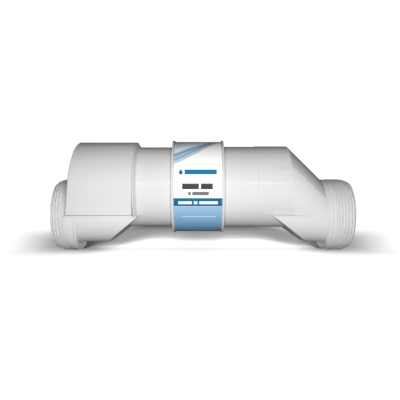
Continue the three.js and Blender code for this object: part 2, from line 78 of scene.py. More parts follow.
inlet_low, inlet_high = span("inlet_body")
outlet_low, outlet_high = span("outlet_body")
sleeve_low, sleeve_high = span("coupling_sleeve")
label_low, label_high = span("label_band")
housing_low, housing_high = span("terminal_housing")
ring_low, ring_high = span("inlet_face_o_ring")
nut_low, nut_high = span("gland_nut")
header_low, header_high = span("terminal_header")
probe_low, probe_high = span("temperature_probe")

AXIS_Y = (sleeve_low.y + sleeve_high.y) / 2
TUBE_Z = (sleeve_low.z + sleeve_high.z) / 2
PORT_Z = (ring_low.z + ring_high.z) / 2
FLOOR_Z = inlet_low.z

TUBE_R = 57.15
TUBE_WALL = 4.6
OUTLET_TUBE_R = 57.9
SKIRT_R = 58.5
THREAD_R = PORT_Z - FLOOR_Z
THREAD_ROOT_R = 48.6
THREAD_PITCH = 4.233
THREAD_FADE = 14.5  # over this length the crests fall towards the face
FACE_R = 46.8
BORE_R = 31
NECK_R = 48.5
KEEL_R = 38.6
KEEL_FLAT = 12
KEEL_WALL = 4.8
KEEL_HALF = KEEL_R + KEEL_FLAT
KEEL_CAVITY_DROP = 4  # the keel's hollow starts this far under the port axis
KEEL_CAVITY_SHIFT = 7.8  # and this far behind the mitre
MITRE_TOP = 1.6  # the mitre starts this far under the port axis
MITRE_ROUND = 0.9
KEEL_PORT_ROUND = 1.3
LEDGE_ROUND = 0.8
GROOVE = (37.4, 42.2, 4.3)  # inner and outer radius, and depth, of the seal groove
MOUTH_ROUND = 1.4
SEAT_THICK = 2.6
SEAT_TILT = 0.3  # its edge leans in by this much
GAP = 0.3

SLEEVE_R = (sleeve_high.z - sleeve_low.z) / 2
LABEL_R = (label_high.z - label_low.z) / 2
LABEL_THICK = 0.4
RIM_WIDTH = 2.8
RIM_RAMP = 0.4
HOUSING_R = housing_high.z - TUBE_Z
HOUSING_BASE = housing_low.z
HOUSING_WALL = 3
HOUSING_LEAN = 0.068  # its left end leans inwards by this much of the height
HOUSING_GAP = 0.4  # over the tube and over the port's neck
SHOULDER_END = housing_high.x + 5.2  # end of the cone on the tube that the housing butts against

HEADER_Z = (header_low.z + header_high.z) / 2
HEADER_R = 22
HEADER_FLANGE = 5
HEADER_FLANGE_R = 26
PROBE_Z = (probe_low.z + probe_high.z) / 2
PROBE_R = 2.5
PROBE_HEAD = 9
PROBE_HEAD_R = 4.4
STUD_R = 3
STUD_THREAD = 12
GLAND_X = (nut_low.x + nut_high.x) / 2
GLAND_Z = (nut_low.z + nut_high.z) / 2
GLAND_WALL = AXIS_Y + HOUSING_R  # the housing's outside, which the gland is screwed to
GLAND_THREAD_R = 11.8
GLAND_HOLE_R = 12.4
GLAND_BORE_R = 5.8
HEX_R = (nut_high.z - nut_low.z) / 2

# Lengths along each port, measured inwards from its face.
inlet = SimpleNamespace(
    side=-1,
    face=inlet_low.x,
    thread=21,
    band=31.5,
    neck=34,
    keel=33.5,
    cavity=38,
    foot=75,
    tip=121.1,
)
outlet = SimpleNamespace(
    side=1,
    face=outlet_high.x,
    thread=28.3,
    band=32.8,
    neck=38,
    keel=35.8,
    cavity=46,
    foot=64,
    tip=113.7,
)


def along(end, distance):
    """x of a place this far in from a port's face."""
    return end.face - end.side * distance


END_WALL = along(inlet, 81)  # closed end of the electrode tube
END_WALL_THICK = 5
INLET_TUBE_END = inlet_high.x
OUTLET_TUBE_END = outlet_low.x
SKIRT_X = along(outlet, 136)
SLOPE_START = along(outlet, 89.8)
SLOPE_END = along(outlet, 41)
JOINT_X = (INLET_TUBE_END + OUTLET_TUBE_END) / 2

# ---- mesh making -------------------------------------------------------------------------------


def make_object(name, points, faces):
    """A smooth-shaded closed mesh from points in millimetres."""
    mesh = bpy.data.meshes.new(name)
    mesh.from_pydata([Vector(p) * MM for p in points], [], faces)
    tidy(mesh)
    made = bpy.data.objects.new(name, mesh)
    bpy.context.scene.collection.objects.link(made)
    return made


def tidy(mesh):
    """Merges points that coincide, turns every face outwards and shades the gentle edges smooth."""
    work = bmesh.new()
    work.from_mesh(mesh)
    bmesh.ops.remove_doubles(work, verts=work.verts, dist=SAME_PLACE)
    bmesh.ops.dissolve_degenerate(work, edges=work.edges, dist=SAME_PLACE)
    bmesh.ops.recalc_face_normals(work, faces=work.faces)
    work.to_mesh(mesh)
    work.free()
    mesh.shade_smooth()
    mesh.set_sharp_from_angle(angle=CREASE)


def bridge(a, b):
    """Faces between two rings of point numbers; a ring of one is a point on the axis."""
    count = max(len(a), len(b))
    faces = []
    for i in range(count):
        j = (i + 1) % count
        if len(a) == 1:
            faces.append((a[0], b[j], b[i]))
        elif len(b) == 1:
            faces.append((a[i], a[j], b[0]))
        else:
            faces.append((a[i], a[j], b[j], b[i]))
    return faces


def turned(name, outline, centre, axis="x", segments=None, radius_of=None):
    """Turns an outline of (place along the axis, radius) pairs. It starts and ends on the axis, or closes.
    radius_of(place, radius, angle) may vary the radius round the axis."""
    count = segments or SEGMENTS
    points, rings = [], []
    for place, radius in outline:
        steps = 1 if radius == 0 else count
        rings.append(range(len(points), len(points) + steps))
        for i in range(steps):
            angle = 2 * math.pi * i / count
            r = radius_of(place, radius, angle) if radius_of and radius else radius
            side, up = r * math.cos(angle), r * math.sin(angle)
            if axis == "x":
                points.append((place, centre[0] + side, centre[1] + up))
            else:
                points.append((centre[0] + side, place, centre[1] + up))
    pairs = list(zip(rings, rings[1:]))
    if outline[0][1] > 0:
        pairs.append((rings[-1], rings[0]))
    faces = [f for a, b in pairs for f in bridge(a, b)]
    return make_object(name, points, faces)


def rod(start, end, radius, centre, axis="x"):
    """A plain cylinder, for cutting with."""
    return turned("rod", [(start, 0), (start, radius), (end, radius), (end, 0)], centre, axis)


def rounded(corners, radius=0.6, steps=4, ends=False):
    """An outline with its corners rounded. A corner may bring its own radius as a third number."""
    outline = []
    count = len(corners)
    for i, corner in enumerate(corners):
        here = Vector(corner[:2])
        size = corner[2] if len(corner) > 2 else radius
        if size == 0 or (not ends and i in (0, count - 1)):
            outline.append(tuple(here))
            continue
        before = Vector(corners[i - 1][:2]) - here
        after = Vector(corners[(i + 1) % count][:2]) - here
        first = here + before.normalized() * min(size, before.length * 0.49)
        last = here + after.normalized() * min(size, after.length * 0.49)
        for k in range(steps + 1):
            t = k / steps
            outline.append(tuple(first.lerp(here, t).lerp(here.lerp(last, t), t)))
    return outline


def loft(name, sections):
    """Joins rings of the same number of points and closes both ends."""
    points = [p for section in sections for p in section]
    count = len(sections[0])
    rings = [range(i * count, (i + 1) * count) for i in range(len(sections))]
    faces = [f for a, b in zip(rings, rings[1:]) for f in bridge(a, b)]
    faces.append(tuple(rings[0]))
    faces.append(tuple(reversed(rings[-1])))
    return make_object(name, points, faces)


def combine(base, others, operation):
    """Joins the others to a piece, or cuts them out of it, and uses them up."""
    for other in others:
        modifier = base.modifiers.new(operation, "BOOLEAN")
        modifier.operation = operation
        modifier.solver = "MANIFOLD"
        modifier.object = other
    graph = bpy.context.evaluated_depsgraph_get()
    base.data = bpy.data.meshes.new_from_object(base.evaluated_get(graph))
    base.modifiers.clear()
    for other in others:
        bpy.data.objects.remove(other)
    tidy(base.data)


def soften(piece, width, chosen, segments=3):
    """Rounds the edges of a piece for which chosen(first corner, second corner) is true."""
    work = bmesh.new()
    work.from_mesh(piece.data)
    edges = []
    for edge in work.edges:
        first, last = [vertex.co / MM for vertex in edge.verts]
        if chosen(first, last) and edge.calc_face_angle(0) > SHARP:
            edges.append(edge)
    bmesh.ops.bevel(work, geom=edges, offset=width * MM, segments=segments, profile=0.5, affect="EDGES")
    work.to_mesh(piece.data)
    work.free()
    tidy(piece.data)


# ---- sections ----------------------------------------------------------------------------------


def circle(x, radius, z):
    turns = [2 * math.pi * i / SEGMENTS for i in range(SEGMENTS)]
    return [(x, AXIS_Y + radius * math.cos(t), z + radius * math.sin(t)) for t in turns]


def arch(x, radius, base, z=None):
    """A half circle on the axis at height z, with straight sides down to base."""
    z = TUBE_Z if z is None else z
    half = SEGMENTS // 2
    turns = [math.pi * i / half for i in range(half + 1)]
    points = [(x, AXIS_Y + radius * math.cos(t), z + radius * math.sin(t)) for t in turns]
    return points + [(x, AXIS_Y - radius, base), (x, AXIS_Y + radius, base)]


def port_section(x, lower):
    """A half circle above the port axis and the keel's flat-bottomed round below it."""
    points = []
    for i in range(SEGMENTS):
        t = 2 * math.pi * i / SEGMENTS
        across, up = math.cos(t), math.sin(t)
        side = 0 if abs(across) < 1e-6 else math.copysign(1, across)
        y = (lower + KEEL_FLAT) * across if up >= 0 else side * KEEL_FLAT + lower * across
        height = (lower + KEEL_FLAT if up >= 0 else lower) * up
        points.append((x, AXIS_Y + y, PORT_Z + height))
    return points


def keel_section(radius, drop, x_of):
    """Half a keel section, from its left top edge round the bottom to its right top edge."""
    start = math.asin(drop / radius)
    steps = SEGMENTS // 2
    points = []
    for i in range(steps + 1):
        t = math.pi + start + (math.pi - 2 * start) * i / steps
        across = math.cos(t)
        side = 0 if abs(across) < 1e-6 else math.copysign(1, across)
        z = PORT_Z + radius * math.sin(t)
        points.append((x_of(z), AXIS_Y + side * KEEL_FLAT + radius * across, z))
    return points


def keel(end, inside=False):
    """The lower body under one end: mitred towards the middle, square at its port."""
    radius = KEEL_R - KEEL_WALL if inside else KEEL_R
    drop = KEEL_CAVITY_DROP if inside else 0
    shift = KEEL_CAVITY_SHIFT if inside else 0
    tip, foot = along(end, end.tip), along(end, end.foot)
    run = (foot - tip) / (KEEL_R - MITRE_TOP)
    port_x = along(end, end.cavity if inside else end.keel)
    mitre = keel_section(radius, drop, lambda z: tip + end.side * shift + run * (PORT_Z - MITRE_TOP - z))
    made = loft("keel", [mitre, keel_section(radius, drop, lambda z: port_x)])
    if not inside:

        def on_mitre(a, b):
            return all(
                abs(p.x - tip - run * (PORT_Z - MITRE_TOP - p.z)) < NEAR and p.z < PORT_Z - 0.5
                for p in (a, b)
            )

        def at_port(a, b):
            return all(abs(p.x - port_x) < NEAR and p.z < PORT_Z - 0.5 for p in (a, b))

        def on_ledge(a, b):
            return all(abs(p.z - PORT_Z) < NEAR for p in (a, b)) and abs(a.y - b.y) < NEAR

        soften(made, MITRE_ROUND, on_mitre)
        soften(made, KEEL_PORT_ROUND, at_port)
        if end is outlet:
            soften(made, LEDGE_ROUND, on_ledge)
    return made


# ---- threaded ports ----------------------------------------------------------------------------


def smooth(value, low, high):
    """Rises from 0 at low to 1 at high, level at both ends."""
    t = min(1, max(0, (value - low) / (high - low)))
    return t * t * (3 - 2 * t)


def threaded_boss(end):
    """The outside of a port: neck, plain band, a right-handed helical thread and the end face."""
    fall = THREAD_R - FACE_R
    least_depth, lip_r = 1.8, 0.5

    def thread_radius(x, radius, angle):
        distance = abs(end.face - x)
        into = end.thread - distance
        if into <= 0:
            return radius
        turn = (into / THREAD_PITCH - end.side * angle / (2 * math.pi)) % 1
        ridge = smooth(turn, 0.08, 0.40) - smooth(turn, 0.60, 0.92)
        crest = THREAD_R - fall * max(0, 1 - distance / THREAD_FADE) ** 1.7
        root = min(THREAD_ROOT_R, crest - least_depth)
        cut = root + (crest - root) * ridge
        joined = THREAD_R + (cut - THREAD_R) * smooth(into, 0, 0.9)
        lip = lip_r - math.sqrt(max(0, lip_r**2 - max(0, lip_r - distance) ** 2))
        return joined - lip

    shoulder = rounded(
        [
            (along(end, end.neck), 0, 0),
            (along(end, end.neck), NECK_R, 0),
            (along(end, end.band + 0.2), NECK_R, 0.5),
            (along(end, end.band), THREAD_R, 0.5),
            (along(end, end.thread), THREAD_R, 0),
        ]
    )
    step = 0.14
    count = round((end.thread - lip_r) / step)
    thread = [(along(end, end.thread - (i + 1) * step), THREAD_R) for i in range(count)]
    lip = [(along(end, d), THREAD_R) for d in (0.3, 0.12, 0.03, 0)]
    outline = shoulder + thread[:-1] + lip + [(end.face, 0)]
    return turned("boss", outline, (AXIS_Y, PORT_Z), radius_of=thread_radius)


def bore(end):
    """What is cut out of a port: the water way with a softened mouth."""
    outside = end.face + end.side
    inner = along(end, end.cavity + 4)
    outline = [
        (inner, 0),
        (inner, BORE_R),
        *[
            (along(end, MOUTH_ROUND * (1 - math.sin(t))), BORE_R + MOUTH_ROUND * (1 - math.cos(t)))
            for t in [math.pi / 2 * i / 6 for i in range(7)]
        ],
        (outside, BORE_R + MOUTH_ROUND),
        (outside, 0),
    ]
    return turned("bore", outline, (AXIS_Y, PORT_Z))


def face_groove(end):
    """What is cut out of a port's face for its seal."""
    inner, outer, depth = GROOVE
    corner = 0.5
    outline = [
        (end.face + end.side, inner),
        (end.face + end.side, outer),
        (along(end, depth - corner), outer),
        (along(end, depth), outer - corner),
        (along(end, depth), inner + corner),
        (along(end, depth - corner), inner),
    ]
    return turned("groove", outline, (AXIS_Y, PORT_Z))


# ---- bodies ------------------------------------------------------------------------------------


def make_outlet_body():
    """The right moulding: tube, skirt, slope, keel and port, all hollow."""
    tube = turned(
        "outlet_body_surface",
        [
            (OUTLET_TUBE_END, 0),
            (OUTLET_TUBE_END, OUTLET_TUBE_R),
            (SKIRT_X, OUTLET_TUBE_R),
            (SKIRT_X + 0.5, SKIRT_R),
            (SLOPE_START, SKIRT_R),
            (SLOPE_START, 0),
        ],
        (AXIS_Y, TUBE_Z),
    )
    slope = loft(
        "slope",
        [
            circle(SLOPE_START - 1, SKIRT_R, TUBE_Z),
            circle(SLOPE_START, SKIRT_R, TUBE_Z),
            port_section(SLOPE_END, KEEL_R),
            port_section(along(outlet, outlet.keel), KEEL_R),
        ],
    )
    combine(tube, [slope, keel(outlet), threaded_boss(outlet)], "UNION")
    inner_r = OUTLET_TUBE_R - TUBE_WALL
    cavity = loft(
        "cavity",
        [
            circle(JOINT_X, inner_r, TUBE_Z),
            circle(SLOPE_START - 4, inner_r, TUBE_Z),
            port_section(along(outlet, outlet.cavity), KEEL_R - KEEL_WALL),
        ],
    )
    combine(tube, [cavity, keel(outlet, True), bore(outlet), face_groove(outlet)], "DIFFERENCE")
    return tube


def seat_plate():
    """The flat seat that the terminal housing stands on, narrowed past it to the keel's tip."""
    top = HOUSING_BASE - GAP
    bottom = top - SEAT_THICK
    tip = along(inlet, inlet.tip)
    right = housing_high.x
    rings = []
    for z, half in ((bottom, HOUSING_R), (top, HOUSING_R - SEAT_TILT)):
        corners = [(housing_low.x, half), (right, half), (tip, KEEL_HALF)]
        outline = [(x, -y) for x, y in corners] + list(reversed(corners))
        rings.append([(x, AXIS_Y + y, z) for x, y in outline])
    plate = loft("seat", rings)
    soften(plate, 0.5, lambda a, b: True, 2)
    return plate


def shoulder():
    """The cone that stands on the tube, down to within the seat plate, with a small fillet at the tube."""
    start = housing_high.x + GAP
    sunk = TUBE_R - 0.04
    corners = [
        (start, 0, 0),
        (start, HOUSING_R, 0.3),
        (start + 1, HOUSING_R, 0.5),
        (SHOULDER_END, sunk, 2.4),
        (SHOULDER_END + 5, sunk, 0),
        (SHOULDER_END + 5, 0, 0),
    ]
    cone = turned("shoulder", rounded(corners, steps=8), (AXIS_Y, TUBE_Z))
    reach = 90  # past the cone's own radius
    low, high = HOUSING_BASE - reach, HOUSING_BASE - GAP - SEAT_THICK + 1
    sides = [(-reach, low), (reach, low), (reach, high), (-reach, high)]
    rings = [[(x, AXIS_Y + y, z) for y, z in sides] for x in (start - 5, SHOULDER_END + 15)]
    combine(cone, [loft("below", rings)], "DIFFERENCE")
    return cone


def make_inlet_body():
    """The left moulding: tube with an end wall, neck, keel, seat, shoulder and port."""
    tube = turned(
        "inlet_body_surface",
        [(END_WALL, 0), (END_WALL, TUBE_R), (INLET_TUBE_END, TUBE_R), (INLET_TUBE_END, 0)],
        (AXIS_Y, TUBE_Z),
    )
    inner_wall = END_WALL + END_WALL_THICK
    neck_ends = (along(inlet, inlet.neck) - 1, inner_wall)
    neck = loft("neck", [arch(x, KEEL_R, PORT_Z - 2, PORT_Z) for x in neck_ends])
    combine(tube, [neck, keel(inlet), seat_plate(), shoulder(), threaded_boss(inlet)], "UNION")
    cavity = turned(
        "cavity",
        [
            (inner_wall, 0),
            (inner_wall, TUBE_R - TUBE_WALL),
            (JOINT_X, TUBE_R - TUBE_WALL),
            (JOINT_X, 0),
        ],
        (AXIS_Y, TUBE_Z),
    )
    cavity_r, cavity_base = KEEL_R - KEEL_WALL, PORT_Z - 4.6
    cavity_ends = (along(inlet, inlet.cavity), inner_wall + 1)
    neck_cavity = loft("neck_cavity", [arch(x, cavity_r, cavity_base, PORT_Z) for x in cavity_ends])
    header_hole = rod(END_WALL - 1, inner_wall + 1, HEADER_R, (AXIS_Y, HEADER_Z))
    cuts = [cavity, neck_cavity, keel(inlet, True), bore(inlet), header_hole, face_groove(inlet)]
    combine(tube, cuts, "DIFFERENCE")
    return tube


def make_sleeve():
    """The collar: two raised rims, with the label's seat sunk between them."""
    left, right = sleeve_low.x, sleeve_high.x
    rim, ramp, sunk = RIM_WIDTH, RIM_RAMP, LABEL_R - LABEL_THICK - GAP
    outline = rounded(
        [
            (left, TUBE_R + GAP),
            (left, SLEEVE_R, 0.7),
            (left + rim, SLEEVE_R, 0.7),
            (left + rim + ramp, sunk, 0.4),
            (right - rim - ramp, sunk, 0.4),
            (right - rim, SLEEVE_R, 0.7),
            (right, SLEEVE_R, 0.7),
            (right, OUTLET_TUBE_R + GAP, 0.4),
            (JOINT_X, OUTLET_TUBE_R + GAP, 0),
            (JOINT_X, TUBE_R + GAP, 0),
        ],
        ends=True,
    )
    return turned("coupling_sleeve_surface", outline, (AXIS_Y, TUBE_Z))


def make_label():
    """The printed band round the sleeve."""
    left, right, inner = label_low.x, label_high.x, LABEL_R - LABEL_THICK
    outline = rounded(
        [(left, inner, 0), (left, LABEL_R), (right, LABEL_R), (right, inner, 0)], 0.15, 2, ends=True
    )
    return turned("label_band_surface", outline, (AXIS_Y, TUBE_Z))


def leaning(x, radius, base):
    """An arch whose x grows with its height over the housing's base."""
    return [(px + HOUSING_LEAN * (pz - HOUSING_BASE), py, pz) for px, py, pz in arch(x, radius, base)]


def make_housing():
    """The cover over the terminals, open below, with ways for the tube, the neck and the gland."""
    left, right = housing_low.x, housing_high.x
    edge = 1.8
    lower_edge = 0.7
    sections = []
    for i in range(7):
        t = math.pi / 2 * i / 6
        x = left + edge * (1 - math.cos(t))
        sections.append(leaning(x, HOUSING_R - edge * (1 - math.sin(t)), HOUSING_BASE))
    sections.append(arch(right - 0.5, HOUSING_R, HOUSING_BASE))
    sections.append(arch(right - 0.15, HOUSING_R - 0.15, HOUSING_BASE))
    sections.append(arch(right, HOUSING_R - 0.5, HOUSING_BASE))
    shell = loft("terminal_housing_surface", sections)

    def lower_rim(a, b):
        return abs(a.z - HOUSING_BASE) < NEAR and abs(b.z - HOUSING_BASE) < NEAR

    soften(shell, lower_edge, lower_rim, 2)
    low = HOUSING_BASE - 5
    inner_r = HOUSING_R - HOUSING_WALL
    ends = [leaning(left + HOUSING_WALL, inner_r, low), arch(right - HOUSING_WALL, inner_r, low)]
    hollow = loft("hollow", ends)
    tube_way = rod(right - 2 * HOUSING_WALL, right + 1, TUBE_R + HOUSING_GAP, (AXIS_Y, TUBE_Z))
    neck_way = rod(left - 2, left + 3 * HOUSING_WALL, THREAD_R + HOUSING_GAP, (AXIS_Y, PORT_Z))
    gland_hole = rod(GLAND_WALL - 6, GLAND_WALL + 6, GLAND_HOLE_R, (GLAND_X, GLAND_Z), "y")
    combine(shell, [hollow, tube_way, neck_way, gland_hole], "DIFFERENCE")
    return shell


# ---- seals and cable gland ---------------------------------------------------------------------


def make_ring(name, low, high, inner, outer, centre, round_by=0.3, axis="x"):
    """A ring with softened edges between two places on its axis."""
    corners = [(low, inner), (low, outer), (high, outer), (high, inner)]
    return turned(name, rounded(corners, round_by, 3, ends=True), centre, axis)


def make_o_ring(name, low, high):
    """A round cord bent into a ring that fills its CAD box."""
    thick = (high.x - low.x) / 2
    radius = (high.z - low.z) / 2 - thick
    turns = [2 * math.pi * i / 24 for i in range(24)]
    middle = (low.x + high.x) / 2
    outline = [(middle + thick * math.cos(t), radius - thick * math.sin(t)) for t in turns]
    return turned(name, outline, (AXIS_Y, PORT_Z))


def hexagon(corner, start, end, chamfer, turn=0.0):
    """radius_of for a hexagonal stretch from start to end, its corners turned down at both ends."""
    flat = corner * math.cos(math.pi / 6)

    def radius(place, given, angle):
        if not start - NEAR <= place <= end + NEAR or given < flat * 0.98:
            return given
        sector = (angle + turn) % (math.pi / 3) - math.pi / 6
        edge = min(abs(place - start), abs(end - place))
        return min(flat / math.cos(sector), corner - max(0, chamfer - edge))

    return radius


def threads(start, end, radius, pitch):
    """Points of an outline for a row of fine thread ridges."""
    count = round(abs(end - start) / pitch)
    step = (end - start) / count
    points = []
    for i in range(count):
        x = start + i * step
        points += [(x + step * 0.1, radius - pitch * 0.45), (x + step * 0.5, radius)]
        points += [(x + step * 0.6, radius)]
    return points


def hex_stretch(start, end, corner, chamfer):
    """Points of an outline along a hexagon, with some within each chamfer."""
    steps = [chamfer * i / 4 for i in range(5)]
    return [(start + d, corner) for d in steps] + [(end - d, corner) for d in reversed(steps)]


def make_gland():
    """The five pieces of the cable gland, turned round its axis."""
    centre = (GLAND_X, GLAND_Z)
    wall, thread, bore_r = GLAND_WALL, GLAND_THREAD_R, GLAND_BORE_R
    chuck = thread - 2.2
    flange_start, flange_end = wall + 2, wall + 7
    lock_start, lock_end = wall - 7.5, wall - 3.4
    nut_start, nut_end = wall + 7.5, wall + 17
    chamfer = 0.7
    nut_chamfer = 0.8
    made = {}
    body = [
        (wall - 9, bore_r + 0.6),
        (wall - 9, thread - 0.8),
        (wall - 8.6, thread - 0.3),
        *threads(wall - 8.5, wall + 1.7, thread, 1.5),
        (flange_start, thread - 0.7),
        *hex_stretch(flange_start, flange_end, HEX_R, chamfer),
        (flange_end, thread - 0.8),
        *threads(wall + 7.4, wall + 15.6, thread, 1.5),
        (wall + 16, thread - 0.8),
        (wall + 16, chuck),
        (flange_end, chuck),
        (flange_end, bore_r),
        (wall - 8.4, bore_r),
    ]
    flats = hexagon(HEX_R, flange_start, flange_end, chamfer)
    made["gland_body"] = turned("gland_body_surface", body, centre, "y", radius_of=flats)
    locknut = [
        (lock_start, thread + 0.8),
        *hex_stretch(lock_start, lock_end, HEX_R, chamfer),
        (lock_end, thread + 0.8),
        (lock_end - 0.5, thread + GAP),
        (lock_start + 0.5, thread + GAP),
    ]
    flats = hexagon(HEX_R, lock_start, lock_end, chamfer)
    made["gland_locknut"] = turned("gland_locknut_surface", locknut, centre, "y", radius_of=flats)
    nut = [
        (nut_start, thread + 0.6),
        *hex_stretch(nut_start, nut_end, HEX_R, nut_chamfer),
        *rounded([(wall + 17.4, HEX_R - 1.9, 0), (wall + 22, 12.9, 2), (wall + 25, 9.4, 1.2)], 1, 5),
        *rounded([(wall + 25, 9.2, 0), (wall + 25, bore_r, 1.2), (nut_end, bore_r, 0)], 1, 5),
        (nut_end, thread + GAP),
        (nut_start + 0.5, thread + GAP),
    ]
    flats = hexagon(HEX_R, nut_start, nut_end, nut_chamfer)
    made["gland_nut"] = turned("gland_nut_surface", nut, centre, "y", radius_of=flats)
    made["gland_washer"] = make_ring(
        "gland_washer_surface", wall + GAP, wall + 1.7, thread + GAP, HEX_R - 0.1, centre, 0.35, "y"
    )
    made["gland_seal"] = make_ring(
        "gland_seal_surface", wall + 7.3, wall + 16.4, bore_r - GAP, chuck - GAP, centre, 0.8, "y"
    )
    return made


# ---- terminals ---------------------------------------------------------------------------------


def make_header():
    """The round plug with a flange that carries the studs and the probe."""
    left, right = header_low.x, header_high.x
    flange_right = left + HEADER_FLANGE
    outline = rounded(
        [
            (left, 0),
            (left, HEADER_FLANGE_R, 0.9),
            (flange_right, HEADER_FLANGE_R, 0.5),
            (flange_right, HEADER_R - GAP, 0.3),
            (right, HEADER_R - GAP, 0.8),
            (right, 0),
        ]
    )
    header = turned("terminal_header_surface", outline, (AXIS_Y, HEADER_Z))
    holes = [(stud_centre(n), HEADER_Z, STUD_R + GAP) for n in (1, 2)]
    holes.append((AXIS_Y, PROBE_Z, PROBE_R + GAP))
    combine(header, [rod(left - 1, right + 1, r, (y, z)) for y, z, r in holes], "DIFFERENCE")
    return header


def stud_centre(n):
    """y of a stud's axis."""
    low, high = span(f"terminal_stud_{n}")
    return (low.y + high.y) / 2


def make_probe():
    """A sheath with a round tip, and a wider head outside the header."""
    left, right = probe_low.x, probe_high.x
    head = left + PROBE_HEAD - GAP
    corners = [
        (left, 0),
        (left, PROBE_HEAD_R, 1.2),
        (head, PROBE_HEAD_R, 0.4),
        (head, PROBE_R, 0.3),
        (right, PROBE_R, 2.3),
        (right, 0),
    ]
    return turned("temperature_probe_surface", rounded(corners), (AXIS_Y, PROBE_Z), segments=64)


def make_stud(n):
    """A stud with a fine thread at its free end, under the nut."""
    low, high = span(f"terminal_stud_{n}")
    threaded = low.x + STUD_THREAD
    outline = [
        (low.x, 0),
        (low.x, 2.4),
        (low.x + 0.5, 2.9),
        *threads(low.x + 0.6, threaded, STUD_R, 1.0),
        (threaded + 0.5, STUD_R),
        (high.x - 0.5, STUD_R),
        (high.x, STUD_R - 0.5),
        (high.x, 0),
    ]
    return turned(f"terminal_stud_{n}_surface", outline, (stud_centre(n), HEADER_Z), segments=48)


def make_nut(n):
    """A hexagonal nut on a stud, chamfered outside and at its hole."""
    low, high = span(f"stud_nut_{n}")
    corner = (high.y - low.y) / 2
    chamfer, mouth = 0.6, 0.5
    hole = STUD_R + 0.4
    outline = [
        (low.x, hole + mouth),
        *hex_stretch(low.x, high.x, corner, chamfer),
        (high.x, hole + mouth),
        (high.x - mouth, hole),
        (low.x + mouth, hole),
    ]
    flats = hexagon(corner, low.x, high.x, chamfer, math.pi / 6)
    centre = (stud_centre(n), HEADER_Z)
    return turned(f"stud_nut_{n}_surface", outline, centre, segments=96, radius_of=flats)


def make_washer(n):
    low, high = span(f"stud_washer_{n}")
    inner, outer = STUD_R + 0.4, (high.y - low.y) / 2
    centre = (stud_centre(n), HEADER_Z)
    return make_ring(f"stud_washer_{n}_surface", low.x, high.x, inner, outer, centre, 0.25)


def make_block(node, width):
    """A block that fills its CAD box, with rounded edges."""
    low, high = span(node)
    rings = [
        [(x, low.y, low.z), (x, high.y, low.z), (x, high.y, high.z), (x, low.y, high.z)]
        for x in (low.x, high.x)
    ]
    block = loft(node + "_surface", rings)
    soften(block, width, lambda a, b: True, 3)
    return block


# ---- electrode stack ---------------------------------------------------------------------------

PLATES = [f"electrode_plate_{n}" for n in range(1, 8)]


def make_spacer(n):
    """A rod through the plates that keeps them apart."""
    low, high = span(f"plate_spacer_rod_{n}")
    radius = (high.z - low.z) / 2
    corners = [(low.y, 0), (low.y, radius, 0.7), (high.y, radius, 0.7), (high.y, 0)]
    centre = ((low.x + high.x) / 2, TUBE_Z)
    return turned(f"plate_spacer_rod_{n}_surface", rounded(corners), centre, "y", segments=48)


def make_comb(level, place):
    """A segment of the tube's round with a slot for each plate."""
    node = f"{level}_comb_{place}"
    low, high = span(node)
    sign = 1 if level == "upper" else -1
    arc_r = max(abs(low.z - TUBE_Z), abs(high.z - TUBE_Z))
    inner = min(abs(low.z - TUBE_Z), abs(high.z - TUBE_Z))
    half = (high.y - low.y) / 2
    section = [(-half, inner)]
    for plate in PLATES:
        plate_low, plate_high = span(plate)
        left, right = plate_low.y - GAP - AXIS_Y, plate_high.y + GAP - AXIS_Y
        top = plate_high.z - TUBE_Z + 2 * GAP
        section += [(left, inner), (left, top), (right, top), (right, inner)]
    section.append((half, inner))
    edge = math.acos(half / arc_r)
    turns = [edge + (math.pi - 2 * edge) * i / 40 for i in range(41)]
    section += [(arc_r * math.cos(t), arc_r * math.sin(t)) for t in turns]
    rings = [[(x, AXIS_Y + sign * y, TUBE_Z + sign * z) for y, z in section] for x in (low.x, high.x)]
    comb = loft(node + "_surface", rings)
    soften(comb, 0.15, lambda a, b: abs(a.x - b.x) < NEAR, 2)
    return comb


# ---- materials ---------------------------------------------------------------------------------


